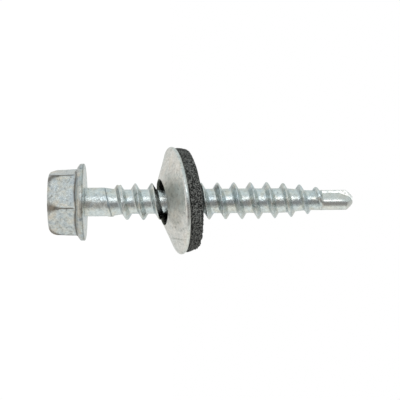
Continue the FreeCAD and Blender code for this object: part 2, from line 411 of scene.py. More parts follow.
# Crest along the thread: turns from the first crest, radius and half width
CREST_RUN = (
    (0.55, 1.70, 0.35),
    (0.8, 1.80, 0.35),
    (1.0, 1.91, 0.34),
    (1.25, 2.05, 0.32),
    (1.5, 2.22, 0.27),
    (1.75, 2.32, 0.16),
    (2.0, 2.38, 0.09),
    (2.3, THREAD_RADIUS, 0.07),
    (10.8, THREAD_RADIUS, 0.07),
    (11.0, 2.32, 0.06),
    (11.5, 2.26, 0.07),
    (12.0, 2.16, 0.08),
    (12.5, 2.06, 0.07),
    (13.0, 1.82, 0.06),
    (13.5, 1.70, 0.10),
    (13.8, 1.6, 0.15),
    (14.2, 1.45, 0.2),
)
CREST_TURNS, CREST_RADII, CREST_WIDTHS = zip(*CREST_RUN)
THREAD_END_TURN = 13.62
THREAD_END_DROP = 1.5
# Where two rolled ridges haven't quite met at the crest: turns, and depth of the furrow
FURROW_TURNS = (1.2, 1.5, 1.8, 2.1)
FURROW_DEPTHS = (0.0, 0.09, 0.05, 0.0)
FURROW_WIDTH = 0.13
# Rounding between crest and flank and at the root, and what each adds to the radius
FLANK_ROUND = 0.045
CREST_FILL = 0.55
ROOT_ROUND = 0.07
ROOT_FILL = 0.012
# The step at the plain shank's end: the rolled core starts this far under the shank, keeps its
# size for a share of its run, and has a fine groove along the step
STEP_DEPTH = 0.05
STEP_SHARPNESS = 0.02
STEP_HOLD = 1.15
STEP_RUN = 1.5
STEP_GROOVE = 0.05
SHANK_COLUMNS = 160
# Distances from the crest, along the screw, at which the grid has points
CREST_OFFSETS = (
    0.0, 0.03, 0.06, 0.09, 0.13, 0.18, 0.24, 0.31, 0.39, 0.46, 0.51, 0.56, 0.62, 0.72, 0.88,
)
SHANK_START = 0.05
SHANK_END = DRILL_STEP - BEARING
FIRST_TURN = -2
SPARE_TURNS = 4
NICK_SEED = 5
SMALL_NICKS = 34
SMALL_NICK_TURNS = (2, 11.5)
SMALL_NICK_DEPTHS = (0.03, 0.10)
# Half length of a nick along the screw, its half angle, and the thread height that it needs
NICK_LENGTH = 0.4
NICK_ANGLE = 0.05
NICK_HEIGHT = 0.25
# The two deep nicks that the photo shows: angle, turn and depth
DEEP_NICKS = ((math.radians(196), 3.52, 0.22), (math.radians(258), 5.72, 0.12))
# Painted shade in the nicks, and in the groove at the plain shank's end with its width; then
# painted shade on the flanks towards the head and towards the point
NICK_PAINTED_SHADE = 0.9
STEP_PAINTED_SHADE = 0.85
STEP_SHADE_WIDTH = 0.085
HEAD_SIDE_PAINTED_SHADE = 0.36
POINT_SIDE_PAINTED_SHADE = 0.06
# Painted shade on the flanks: where it starts along the screw, and its middle and half width on a
# flank
FLANK_SHADE_START = 3.6
FLANK_SHADE_BLEND = 0.5
FLANK_SHADE_MIDDLE = 0.36
FLANK_SHADE_WIDTH = 0.19


def past_plain_end(station, angle):
    """Distance along the screw past the slanting end of the plain shank."""
    return station - (PLAIN_END + PLAIN_SLANT * np.cos(angle))


def core_radius(station, angle):
    """Radius under the thread, from the step at the plain shank's end to the tapered nose."""
    past = past_plain_end(station, angle)
    swell = (SHANK_RADIUS - STEP_DEPTH - CORE_RADIUS) * np.clip(STEP_HOLD - past / STEP_RUN, 0, 1)
    step = 1 / (1 + np.exp(-past / STEP_SHARPNESS))
    radius = SHANK_RADIUS * (1 - step) + (CORE_RADIUS + swell) * step
    radius = radius - STEP_GROOVE * np.exp(-((past - STEP_GROOVE) / STEP_GROOVE) ** 2)
    share = np.clip((station - (NOSE_START - BEARING)) / NOSE_TAPER, 0, 1)
    share = share * share * (3 - 2 * share)
    return radius - (CORE_RADIUS - NOSE_RADIUS) * share


def thread_radius(station, angle):
    """Radius of shank and thread at a height over the bearing face."""
    turns = (station - FIRST_CREST) / PITCH - angle / TURN
    nearest = np.round(turns)
    away = np.abs(turns - nearest) * PITCH
    along = nearest + angle / TURN
    crest = np.interp(along, CREST_TURNS, CREST_RADII)
    width = np.interp(along, CREST_TURNS, CREST_WIDTHS)
    crest = crest - THREAD_END_DROP * np.clip(along - THREAD_END_TURN, 0, 1)
    over = away - width
    slope = 0.5 * (over + np.sqrt(over ** 2 + FLANK_ROUND ** 2)) / FLANK
    flank = crest + 0.5 * FLANK_ROUND / FLANK * CREST_FILL - slope
    furrow = np.interp(along, FURROW_TURNS, FURROW_DEPTHS)
    flank = flank - furrow * np.exp(-(away / FURROW_WIDTH) ** 2)
    core = core_radius(station, angle)
    return 0.5 * (flank + core + np.sqrt((flank - core) ** 2 + ROOT_ROUND ** 2)) - ROOT_FILL


def thread_nicks():
    """Angle, turn and depth of the small chance nicks and the two deep ones."""
    rng = np.random.default_rng(NICK_SEED)
    ranges = ((0, TURN), SMALL_NICK_TURNS, SMALL_NICK_DEPTHS)
    nicks = [tuple(rng.uniform(*span) for span in ranges) for _ in range(SMALL_NICKS)]
    return nicks + list(DEEP_NICKS)


def nick_share(nick_angle, nick_turn, station, angles, radius):
    """Share of a nick's depth at each point, on the thread only."""
    close = np.exp(-((station - (FIRST_CREST + PITCH * nick_turn)) / NICK_LENGTH) ** 2)
    swing = np.angle(np.exp(1j * (angles - nick_angle)))
    on_thread = radius > CORE_RADIUS + NICK_HEIGHT
    return close * np.exp(-(swing / NICK_ANGLE) ** 2) * on_thread


def flank_painted_shade(station, offset):
    """Painted shade on the flanks, of which those towards the head are the darker."""
    in_thread = np.clip((station - FLANK_SHADE_START) / FLANK_SHADE_BLEND, 0, 1)
    share = HEAD_SIDE_PAINTED_SHADE if offset < 0 else POINT_SIDE_PAINTED_SHADE
    off_middle = (abs(offset) - FLANK_SHADE_MIDDLE) / FLANK_SHADE_WIDTH
    return share * in_thread * math.exp(-off_middle ** 4)


def thread_row(turn, offset, angles, nicks):
    """One turn of points that keep their distance from the crest, and their painted shade."""
    station = FIRST_CREST + PITCH * (turn + angles / TURN) + offset
    station = np.clip(station, SHANK_START, SHANK_END)
    radius = thread_radius(station, angles)
    darkening = np.zeros(len(angles))
    for nick_angle, nick_turn, depth in nicks:
        hit = nick_share(nick_angle, nick_turn, station, angles, radius)
        radius = radius - depth * hit
        darkening += NICK_PAINTED_SHADE * hit
    off_step = (past_plain_end(station, angles) - STEP_GROOVE) / STEP_SHADE_WIDTH
    darkening += STEP_PAINTED_SHADE * np.exp(-off_step ** 2)
    darkening += flank_painted_shade(station, offset)
    row = np.stack((radius * np.cos(angles), radius * np.sin(angles), station + BEARING), axis=1)
    return row, darkening


def rolled(point):
    """Point moved in or out as on a rolled thread."""
    return moved_out(point, ripple(point, ROLLED_WAVES), point.z)


def helix_faces(total, rows):
    """Quads of a grid whose last column joins the first one, one turn further on."""
    count = SHANK_COLUMNS
    faces = []
    for row in range(total - 1):
        low, high = row * count, (row + 1) * count
        for column in range(count - 1):
            faces.append((low + column, low + column + 1, high + column + 1, high + column))
        if row + 1 + rows < total:
            next_low, next_high = (row + rows) * count, (row + 1 + rows) * count
            faces.append((low + count - 1, next_low, next_high, high + count - 1))
    return faces


def close_ends(mesh):
    """Fill the open ends of a mesh."""
    work = bmesh.new()
    work.from_mesh(mesh)
    bmesh.ops.holes_fill(work, edges=work.edges, sides=0)
    bmesh.ops.recalc_face_normals(work, faces=work.faces)
    work.to_mesh(mesh)
    work.free()


def make_shank():
    """Helical grid whose rows follow the thread, so crests and roots keep their edges."""
    angles = np.arange(SHANK_COLUMNS) / SHANK_COLUMNS * TURN
    offsets = sorted(set([-offset for offset in CREST_OFFSETS] + list(CREST_OFFSETS)))
    offsets.append(PITCH / 2)
    turns = int((SHANK_END - FIRST_CREST) / PITCH) + SPARE_TURNS
    nicks = thread_nicks()
    points = []
    painted_shade_and_dirt = []
    for turn in range(turns):
        for offset in offsets:
            row, darkening = thread_row(FIRST_TURN + turn, offset, angles, nicks)
            points += [rolled(Vector(point)) for point in row]
            painted_shade_and_dirt.append(np.clip(darkening, 0, 1))
    faces = helix_faces(turns * len(offsets), len(offsets))
    painted_shade_and_dirt = np.concatenate(painted_shade_and_dirt)
    item = mesh_object("screw_thread", points, faces, "screw", THREAD_SHARP, painted_shade_and_dirt)
    close_ends(item.data)
    return item


# Drill point

LEAD_TURN = math.radians(167.4)
LAND_RELIEF = 0.2
LAND_SPAN = math.radians(88.0)
FLOOR_TURN = math.radians(45.3)
FLOOR_REACH = math.radians(75)
FLOOR_DISTANCE = 0.656
FLOOR_CLEARANCE = 0.05
RUNOUT = 0.2
FLUTE_CURVE = 1.5
THINNING_START = 1.9
THINNING_RUN = 1.3
THINNING_DEPTH = 0.30
EDGE_SPAN = math.radians(4.5)
EDGE_ROUND = 0.10
LIP_OFFSET = 0.25
LIP_FLAT = 0.15
POINT_SLOPE = 0.60
POINT_CURVE = 0.38
DRILL_FOOT = DRILL_STEP - 0.25
# Heights over the foot and the largest radius there: the foot lies inside the nose
FOOT_LEVELS = ((0.0, NOSE_RADIUS), (0.24, DRILL_RADIUS - 0.06))
BODY_LEVELS = (0.25, 0.28, 0.32, 0.36, 0.4, 0.44, 0.47, 0.8, 1.3, 1.8, 2.3, 2.5, 2.7)
SHOULDER_SHARES = (0.25, 0.5, 0.75)
SHOULDER_EDGE_SHARE = 0.95
SHOULDER_EDGE_OUT = 0.005
POINT_SHARES = (0.985, 0.94, 0.86, 0.75, 0.6, 0.45, 0.3, 0.16, 0.05, 0.01)
# Degrees past a land's wall, and the painted shade on the wall, on the edge before it and in its
# line
WALL_DEGREES = 1.0
WALL_PAINTED_SHADE = 0.08
EDGE_DEGREES = 179.6
EDGE_PAINTED_SHADE = 0.16
TIP_EDGE_PAINTED_SHADE = 0.45
EDGE_LINE_DEGREES = 174
EDGE_LINE_PAINTED_SHADE = 0.95


def drill_outline(angle, height):
    """Radius of the drill: relieved lands that end in a radial wall, with flat flute floors."""
    past = (angle - LEAD_TURN) % math.pi
    runout = clipped((DRILL_STEP + RUNOUT - height) / RUNOUT)
    thinning = clipped((height - TIP + THINNING_START) / THINNING_RUN)
    behind = min(math.pi - past, LAND_SPAN)
    land = DRILL_RADIUS * (1 - LAND_RELIEF * behind * (1 - runout))
    land -= EDGE_ROUND * max(0.0, 1 - (math.pi - past) / EDGE_SPAN) ** 2
    outside = DRILL_RADIUS + FLOOR_CLEARANCE
    distance = FLOOR_DISTANCE + (outside - FLOOR_DISTANCE) * runout ** FLUTE_CURVE
    distance -= THINNING_DEPTH * thinning ** FLUTE_CURVE
    if abs(past - FLOOR_TURN) > FLOOR_REACH:
        return land
    return min(land, distance / math.cos(past - FLOOR_TURN))


def point_height(x, y, side):
    """Height of the relieved, slightly rounded point over one half of the drill."""
    centre = Vector((math.cos(LEAD_TURN), math.sin(LEAD_TURN))) * LIP_OFFSET * side
    distance = max(0.0, (Vector((x, y)) - centre).length - LIP_FLAT)
    return TIP - POINT_SLOPE * distance - POINT_CURVE * distance ** 2


def point_top(angle, side, share):
    """Point on the cutting end, at a share of the drill's own radius."""
    radius = drill_outline(angle, TIP) * share
    x, y = radius * math.cos(angle), radius * math.sin(angle)
    return Vector((x, y, point_height(x, y, side)))


def drill_angles():
    """Angles and halves of the drill, close together at the walls and the lands' heels."""
    degrees = [0.03, 2, 6, 12, 20, 28, 36, 45, 54, 62, 70, 77, 83, 87, 89, 91, 93, 96]
    degrees += list(range(100, 174, 4)) + [175, 176.5, 177.4, 178.3, 179.2, 179.97]
    angles = [(LEAD_TURN + math.radians(value), -1) for value in degrees]
    return angles + [(LEAD_TURN + math.pi + math.radians(value), 1) for value in degrees]


def land_end_painted_shade(angle, at_tip):
    """Painted shade at the end of each land: faint on the wall, dark along the heel of the edge.
    """
    past = math.degrees((angle - LEAD_TURN) % math.pi)
    if past < WALL_DEGREES:
        return WALL_PAINTED_SHADE
    if past > EDGE_DEGREES:
        return TIP_EDGE_PAINTED_SHADE if at_tip else EDGE_PAINTED_SHADE
    return EDGE_LINE_PAINTED_SHADE if past > EDGE_LINE_DEGREES else 0.0


def shoulder_point(angle, side, share):
    """Point on the body where it runs up to the cutting end's uneven edge."""
    top = point_top(angle, side, 1.0)
    shoulder = DRILL_FOOT + BODY_LEVELS[-1]
    height = shoulder + (top.z - shoulder) * share
    radius = drill_outline(angle, height)
    if share == SHOULDER_EDGE_SHARE:
        radius = math.hypot(top.x, top.y) + SHOULDER_EDGE_OUT
    return polar(radius, angle, height)


def make_point():
    """Fluted drill with two relieved faces that meet in a chisel edge."""
    angles = drill_angles()
    points = []
    for level, largest in FOOT_LEVELS + tuple((level, DRILL_RADIUS) for level in BODY_LEVELS):
        height = DRILL_FOOT + level
        for angle, _ in angles:
            points.append(polar(min(drill_outline(angle, height), largest), angle, height))
    for share in SHOULDER_SHARES + (SHOULDER_EDGE_SHARE,):
        points += [shoulder_point(angle, side, share) for angle, side in angles]
    body_count = len(points)
    for share in POINT_SHARES:
        points += [point_top(angle, side, share) for angle, side in angles]
    rings = len(points) // len(angles)
    painted_shade_and_dirt = []
    for index in range(len(points)):
        angle, _ = angles[index % len(angles)]
        painted_shade_and_dirt.append(land_end_painted_shade(angle, index >= body_count))
    faces = capped_faces(rings, len(angles))
    return mesh_object("screw_point", points, faces, "screw", DRILL_SHARP, painted_shade_and_dirt)


# Washer

WASHER_COLUMNS = 320
WASHER_STEPS = 40
WASHER_FOLD_STEPS = 16
WASHER_FIRST_STEP = 0.12
WASHER_HOLE_ROUND = 0.1
# How far the sheet is out of round at a distance from the hole, and how that is turned
OUT_OF_ROUND = 0.02
OUT_OF_ROUND_TURN = 0.6
OUT_OF_ROUND_RUN = 4
SHEET_WAVE_SHARE = 0.6
# Pits and the scratch on the washer's near side, by X and Z in the frame
PITS = ((3.29, 16.36), (3.38, 17.7), (2.7, 16.7), (3.5, 17.4))
SCRATCH_X = 4.87
SCRATCH_SLANT = 0.146
SCRATCH_MIDDLE = 16.75
SCRATCH_HALF = 0.8
SCRATCH_WIDTH = 0.08
SCRATCH_DIRT = 0.45
PIT_AREA = 0.012
PIT_DIRT = 0.55
# The painted dark reflection round the hole: its outer end and blend, how it gathers on the near
# side, and its strength with the part that varies
PATCH_END = 6.3
PATCH_BLEND = 1.6
PATCH_GATHER = 5
PATCH_PAINTED_REFLECTION = 0.26
PATCH_VARIES = 0.36
# Reach past the hole's edge within which the washer gets full painted shade
HOLE_SHADE_REACH = 0.06


def washer_place():
    """Matrix that leans the washer's own axis about its pivot on the screw's axis."""
    axis = Vector((-math.sin(LEAN_TURN), math.cos(LEAN_TURN), 0))
    turn = Matrix.Rotation(LEAN, 4, axis)
    pivot = Vector((0, 0, BEARING + WASHER_STATION))
    own = turn @ Vector((0, 0, PIVOT_DEPTH))
    return Matrix.Translation(pivot - own) @ turn


def dish_lift(angle, reach):
    """Extra rise of the dish towards its hole, on the side that lies at the top of the image."""
    inward = clipped((DISH_LIFT_END - reach) / (DISH_LIFT_END - WASHER_HOLE))
    return DISH_LIFT * max(0.0, -math.cos(angle)) * inward


def marks(point):
    """Dirt of a few pits and one scratch on the washer's near side."""
    if point.y > 0:
        return 0.0
    darkening = 0.0
    for x, z in PITS:
        darkening += PIT_DIRT * math.exp(-((point.x - x) ** 2 + (point.z - z) ** 2) / PIT_AREA)
    along = point.z - SCRATCH_MIDDLE
    if abs(along) < SCRATCH_HALF:
        across = point.x - SCRATCH_X - SCRATCH_SLANT * along
        darkening += SCRATCH_DIRT * math.exp(-(across / SCRATCH_WIDTH) ** 2)
    return darkening


def painted_shade_reflection_and_marks(point, placed):
    """Painted shade in the hole, a painted dark reflection round it on the washer's near side, and
    the pits and scratch.
    """
    reach = math.hypot(point.x, point.y)
    if reach < WASHER_HOLE + HOLE_SHADE_REACH:
        return 1.0
    near = 0.5 - 0.5 * point.y / reach
    patch = 0.5 + ripple(point, REFLECTION_PATCH_WAVES)
    inner = clipped((PATCH_END - reach) / PATCH_BLEND)
    painted_reflection = near ** PATCH_GATHER * inner * (PATCH_PAINTED_REFLECTION + PATCH_VARIES * patch)
    return clipped(painted_reflection + marks(placed))


def uneven_sheet(point, angle):
    """Point of the washer moved as on a pressed sheet that isn't quite true."""
    reach = math.hypot(point.x, point.y)
    oval = OUT_OF_ROUND * math.sin(2 * angle + OUT_OF_ROUND_TURN)
    outward = oval * (reach - WASHER_HOLE) / OUT_OF_ROUND_RUN
    height = point.z + SHEET_WAVE_SHARE * ripple(point, SHEET_WAVES) - dish_lift(angle, reach)
    return moved_out(point, outward, height)


def washer_section():
    """Closed section of the dished sheet, as pairs of radius and height."""
    fold = WASHER_GAUGE / 2
    rim = WASHER_RIM - fold
    top = []
    for step in range(1, WASHER_STEPS):
        share = step / WASHER_STEPS
        radius = WASHER_HOLE + WASHER_FIRST_STEP + (rim - WASHER_HOLE - WASHER_HOLE_ROUND) * share
        top.append((radius, (radius - WASHER_HOLE) * WASHER_RISE))
    slope = math.degrees(WASHER_SLOPE)
    centre = (rim, WASHER_DROP / 2 + (rim - WASHER_HOLE) * WASHER_RISE)
    rounding = arc_points(centre, fold, slope - 90, slope + 90, WASHER_FOLD_STEPS)
    under = [(radius, height + WASHER_DROP) for radius, height in reversed(top)]
    hole = [
        (WASHER_HOLE + WASHER_HOLE_ROUND, WASHER_DROP + 0.04),
        (WASHER_HOLE + 0.02, WASHER_DROP - 0.04),
        (WASHER_HOLE, 0.3),
        (WASHER_HOLE, 0.12),
        (WASHER_HOLE + 0.03, 0.04),
        (WASHER_HOLE + WASHER_HOLE_ROUND, 0.035),
    ]
    return top + rounding + under + hole


def make_washer():
    """Dished sheet with a full round rim and a lightly rounded hole."""
    place = washer_place()
    section = washer_section()
    points = []
    painted_shade_and_dirt = []
    for radius, height in section + section[:1]:
        for step in range(WASHER_COLUMNS):
            angle = TURN * step / WASHER_COLUMNS
            point = polar(radius, angle, height)
            painted_shade_and_dirt.append(painted_shade_reflection_and_marks(point, place @ point))
            points.append(place @ uneven_sheet(point, angle))
    faces = ring_faces(len(section) + 1, WASHER_COLUMNS)
    return mesh_object("washer_metal", points, faces, "washer", WASHER_SHARP, painted_shade_and_dirt)


# Seal

SEAL_COLUMNS = 288
# The section's points: radii under the dish, outer edge, radii of the face, depths of the
# passage, and the lip inside the washer's hole
SEAL_UNDER_RADII = (3.2, 4.0, 4.8, 5.6, 6.2, 6.5)
SEAL_EDGE = [(6.68, 2.30), (SEAL_TOP_RADIUS - 0.03, 2.43), (SEAL_TOP_RADIUS, 2.60)]
SEAL_EDGE += [(6.79, 2.78), (6.76, 2.98), (6.72, 3.18), (6.68, 3.38), (6.62, 3.54)]
SEAL_FACE_ROUND = 0.3
SEAL_FACE_RADII = (6.0, 5.4, 4.8, 4.2, 3.6, 3.1)
SEAL_PASSAGE_DEPTHS = (3.93, 3.6, 3.1, 2.6, 2.1, 1.6, 1.15, 0.7, 0.42)
SEAL_LIP = [(2.84, 0.36), (WASHER_HOLE - 0.01, 0.44), (WASHER_HOLE - 0.01, 0.8)]
SEAL_BOND = 0.05
# Depth under which the seal's outside shows, the radius over which its edge is uneven there and
# how far that leans to the face, and how much one side is squeezed
SEAL_SHOWS = 2.3
SEAL_EDGE_START = 6.0
SEAL_EDGE_LEAN = 0.4
SEAL_SQUEEZE = 0.14
# Depth of the part that follows the dish, and the reach within which the hole gets painted shade
SEAL_UNDER_DEPTH = 2.2
SEAL_SHADE_REACH = 3.0
# The torn part of the edge: its angle, its start and blend in depth, its lumps and its loss
TORN_TURN = math.radians(345)
TORN_START = 2.9
TORN_BLEND = 0.7
TORN_RATE = 3.9
TORN_LUMP = 0.22
TORN_LOSS = 0.13


def seal_hole_radius(angle, depth):
    """Distance from the washer's axis to the upright passage that the thread leaves."""
    shift = (depth - PIVOT_DEPTH) * math.tan(LEAN)
    across = shift * math.sin(angle)
    return -shift * math.cos(angle) + math.sqrt(SEAL_HOLE ** 2 - across ** 2)


def seal_section():
    """Closed section of the rubber, as pairs of radius and depth; None is the passage's radius."""
    outer = []
    for radius in SEAL_UNDER_RADII:
        underside = WASHER_DROP + (radius - WASHER_HOLE) * WASHER_RISE
        outer.append((radius, underside - SEAL_BOND))
    outer += SEAL_EDGE
    centre = (SEAL_FACE_RADIUS - 0.2, SEAL_DEPTH - SEAL_FACE_ROUND)
    outer += arc_points(centre, SEAL_FACE_ROUND, 20, 90, 8)
    outer += [(radius, SEAL_DEPTH) for radius in SEAL_FACE_RADII]
    inner = [(None, depth) for depth in SEAL_PASSAGE_DEPTHS]
    return outer + inner + SEAL_LIP + outer[:1]


def edge_lump(point, angle, depth):
    """Unevenness of the seal's outer edge, torn and shorter at the bottom of the image."""
    torn = (0.5 + 0.5 * math.cos(angle - TORN_TURN)) ** 4
    low = clipped((depth - TORN_START) / TORN_BLEND)
    loss = TORN_LUMP * noise.noise(point * TORN_RATE) - TORN_LOSS
    return ripple(point, RUBBER_WAVES) + torn * low * loss


def seal_point(radius, depth, angle):
    """Point of the seal's section at an angle, and its painted shade, which darkens the hole."""
    reach = radius if radius else seal_hole_radius(angle - LEAN_TURN, depth)
    point = polar(reach, angle, depth)
    if radius and radius > SEAL_EDGE_START and depth > SEAL_SHOWS:
        point += polar(1, angle, SEAL_EDGE_LEAN) * edge_lump(point, angle, depth)
    if radius and depth < SEAL_UNDER_DEPTH:
        point.z -= dish_lift(angle, reach)
    if depth > SEAL_SHOWS:
        squeeze = max(0.0, -math.cos(angle)) * (reach / SEAL_TOP_RADIUS) ** 2
        point.z -= SEAL_SQUEEZE * squeeze * min(1.0, depth - SEAL_SHOWS)
    return point, 1.0 if reach < SEAL_SHADE_REACH else 0.0


def make_seal():
    """Rubber under the dish, with a soft outer edge and a hole that follows the shank."""
    place = washer_place()
    section = seal_section()
    points = []
    painted_shade_and_dirt = []
    for radius, depth in section:
        for step in range(SEAL_COLUMNS):
            point, darkening = seal_point(radius, depth, TURN * step / SEAL_COLUMNS)
            points.append(place @ point)
            painted_shade_and_dirt.append(darkening)
    faces = ring_faces(len(section), SEAL_COLUMNS)
    return mesh_object("seal_rubber", points, faces, "washer", SEAL_SHARP, painted_shade_and_dirt)


# Materials

class Nodes:
    """Small helper for a node tree: adds nodes and links them."""

    def __init__(self, tree):
        self.tree = tree
        tree.nodes.clear()

    def add(self, kind, **values):
        """New node with the given settings."""
        node = self.tree.nodes.new(kind)
        for key, value in values.items():
            setattr(node, key, value)
        return node

    def link(self, source, target):
        """Link from an output to an input."""
        self.tree.links.new(source, target)

    def coordinates(self):
        """Object coordinates in millimetres."""
        place = self.add("ShaderNodeTexCoord")
        mapping = self.add("ShaderNodeMapping")
        mapping.inputs["Scale"].default_value = (1 / MM,) * 3
        self.link(place.outputs["Object"], mapping.inputs["Vector"])
        return mapping.outputs["Vector"]

    def painted_shade_and_dirt(self):
        """Each point's share of darkening: painted shade, painted reflection and dirt."""
        return self.add("ShaderNodeAttribute", attribute_name="painted_shade_and_dirt").outputs["Fac"]

    def noise(self, vector, values):
        """Smooth noise over a vector, by its rate, detail, roughness and distortion."""
        node = self.add("ShaderNodeTexNoise")
        for name, value in zip(("Scale", "Detail", "Roughness", "Distortion"), values):
            node.inputs[name].default_value = value
        self.link(vector, node.inputs["Vector"])
        return node.outputs["Fac"]

    def ramp(self, factor, stops):
        """Colour ramp; a stop is a position with a grey level or a colour."""
        node = self.add("ShaderNodeValToRGB")
        ramp = node.color_ramp
        while len(ramp.elements) < len(stops):
            ramp.elements.new(0.5)
        for element, (position, colour) in zip(ramp.elements, stops):
            element.position = position
            level = (colour,) * 3 if isinstance(colour, (int, float)) else colour
            element.color = (*level, 1)
        self.link(factor, node.inputs["Fac"])
        return node.outputs["Color"]

    def mix(self, factor, first, second, blend="MIX"):
        """Two colours mixed; each value is an output, a number or a colour."""
        node = self.add("ShaderNodeMix", data_type="RGBA", blend_type=blend)
        sockets = (node.inputs["Factor"], node.inputs[6], node.inputs[7])
        for value, socket in zip((factor, first, second), sockets):
            if isinstance(value, bpy.types.NodeSocket):
                self.link(value, socket)
            elif socket.type == "VALUE":
                socket.default_value = value
            else:
                socket.default_value = (*value, 1)
        return node.outputs[2]

    def bump(self, height, values, share=1.0, normal=None):
        """Surface normal changed by a share of a relief, on top of an earlier normal."""
        distance, strength = values
        node = self.add("ShaderNodeBump")
        node.inputs["Distance"].default_value = distance * share * MM
        node.inputs["Strength"].default_value = strength
        self.link(height, node.inputs["Height"])
        if normal:
            self.link(normal, node.inputs["Normal"])
        return node.outputs["Normal"]

    def scaled(self, source, factor):
        """A number times a factor."""
        node = self.add("ShaderNodeMath", operation="MULTIPLY")
        node.inputs[1].default_value = factor
        self.link(source, node.inputs[0])
        return node.outputs[0]

    def share_between(self, source, low, high):
        """Share of the way from one number to another, kept between 0 and 1."""
        node = self.add("ShaderNodeMapRange")
        node.inputs["From Min"].default_value = low
        node.inputs["From Max"].default_value = high
        self.link(source, node.inputs["Value"])
        return node.outputs[0]

    def mix_shaders(self, factor, first, second):
        """Two shaders mixed by a factor."""
        node = self.add("ShaderNodeMixShader")
        for source, socket in zip((factor, first, second), node.inputs):
            self.link(source, socket)
        return node.outputs[0]


class Plating(NamedTuple):
    """Look of one plated piece: three tints, tint of its painted shade and dirt, gloss, grain and
    relief.
    """

    light: tuple
    cool: tuple
    warm: tuple
    shade_and_dirt_tint: tuple
    roughness: float
    grain: float
    relief: float


BLUISH = (0.87, 0.905, 0.89), (0.79, 0.86, 0.89), (0.91, 0.88, 0.80)
CREAMY = (0.93, 0.92, 0.88), (0.86, 0.88, 0.85), (0.94, 0.90, 0.83)
DULL = (0.74, 0.78, 0.77), (0.64, 0.71, 0.76), (0.80, 0.76, 0.67)
# The fourth colour of each plating tints its painted shade and dirt; the thread's blue-grey one is
# the colour of painted flank shade
HEAD_PLATING = Plating(*DULL, shade_and_dirt_tint=(0.40, 0.36, 0.33), roughness=0.27, grain=1.0, relief=1.0)
THREAD_PLATING = Plating(*BLUISH, shade_and_dirt_tint=(0.38, 0.44, 0.48), roughness=0.25, grain=0.72, relief=1.15)
POINT_PLATING = Plating(*CREAMY, shade_and_dirt_tint=(0.45, 0.45, 0.43), roughness=0.29, grain=0.45, relief=0.25)
WASHER_PLATING = Plating(*CREAMY, shade_and_dirt_tint=(0.38, 0.40, 0.37), roughness=0.29, grain=0.78, relief=0.9)
# Noise of the steel and the rubber: rate per millimetre, detail, roughness and distortion
PATCH_NOISE = (0.7, 3.0, 0.65, 0.5)
GRAIN_NOISE = (2.6, 7.0, 0.78, 0.0)
SPECK_NOISE = (2.2, 4.0, 0.8, 0.0)
DENT_NOISE = (1.1, 2.0, 0.5, 0.0)
RUBBER_NOISE = (6.0, 2.0, 0.6, 0.0)
DUST_NOISE = (7.0, 2.0, 0.7, 0.0)
# Relief of the same noises: height in millimetres and strength
GRAIN_BUMP = (0.05, 0.5)
SPECK_BUMP = (0.05, 0.3)
DENT_BUMP = (0.06, 0.6)
RUBBER_BUMP = (0.20, 0.9)
DUST_BUMP = (0.10, 0.6)
# Where on a noise its tints and levels lie
TINT_PLACES = (0.34, 0.5, 0.66)
MOTTLE_STOPS = [(0.35, 0.45), (0.45, 0.88), (0.55, 1.0), (0.66, 1.25)]
SPECK_STOPS = [(0.61, 0.0), (0.67, 0.65)]
DUST_STOPS = [(0.55, 0.0), (0.62, 0.8)]
# Change of roughness over the grain, and how much the share of painted shade and dirt adds
ROUGHNESS_STOPS = [(0.30, 0.15), (0.5, 0.0), (0.72, -0.08)]
SHADE_AND_DIRT_ROUGHNESS = 0.3
SPECK_COLOUR = (0.20, 0.18, 0.15)
RUBBER_BLACK = (0.005, 0.005, 0.004)
RUBBER_GREY = (0.019, 0.018, 0.017)
RUBBER_PALE = (0.33, 0.32, 0.30)
RUBBER_STOPS = [(0.43, RUBBER_BLACK), (0.51, RUBBER_GREY), (0.57, RUBBER_PALE)]
RUBBER_SPECULAR = 0.15
RUBBER_ROUGHNESS = 0.8
DUST_COLOUR = (0.36, 0.35, 0.33)
# Near black painted shade for the rubber's hole
HOLE_SHADE_COLOUR = (0.002, 0.002, 0.002)


def new_material(name):
    """Material with its nodes and the input that takes its shader."""
    material = bpy.data.materials.new(name)
    material.use_nodes = True
    nodes = Nodes(material.node_tree)
    return material, nodes, nodes.add("ShaderNodeOutputMaterial").inputs["Surface"]


def steel_colour(nodes, plating, patches, fine, specks):
    """Patchy tint with a fine mottle, dark specks, and each point's painted shade, painted
    reflection and dirt.
    """
    tints = (plating.cool, plating.light, plating.warm)
    tint = nodes.ramp(patches, list(zip(TINT_PLACES, tints)))
    mottle = nodes.ramp(fine, MOTTLE_STOPS)
    colour = nodes.mix(plating.grain, tint, mottle, "MULTIPLY")
    colour = nodes.mix(nodes.ramp(specks, SPECK_STOPS), colour, SPECK_COLOUR)
    # Painted shade, painted reflection and dirt, by each point's share
    shaded_and_dirtied = nodes.mix(1.0, colour, plating.shade_and_dirt_tint, "MULTIPLY")
    return nodes.mix(nodes.painted_shade_and_dirt(), colour, shaded_and_dirtied)


def steel_roughness(nodes, plating, fine):
    """Roughness that varies with the grain and rises with the share of painted shade and dirt."""
    stops = [(position, plating.roughness + change) for position, change in ROUGHNESS_STOPS]
    rough = nodes.ramp(fine, stops)
    rise = nodes.ramp(nodes.painted_shade_and_dirt(), [(0.0, 0.0), (1.0, SHADE_AND_DIRT_ROUGHNESS)])
    return nodes.mix(1.0, rough, rise, "ADD")


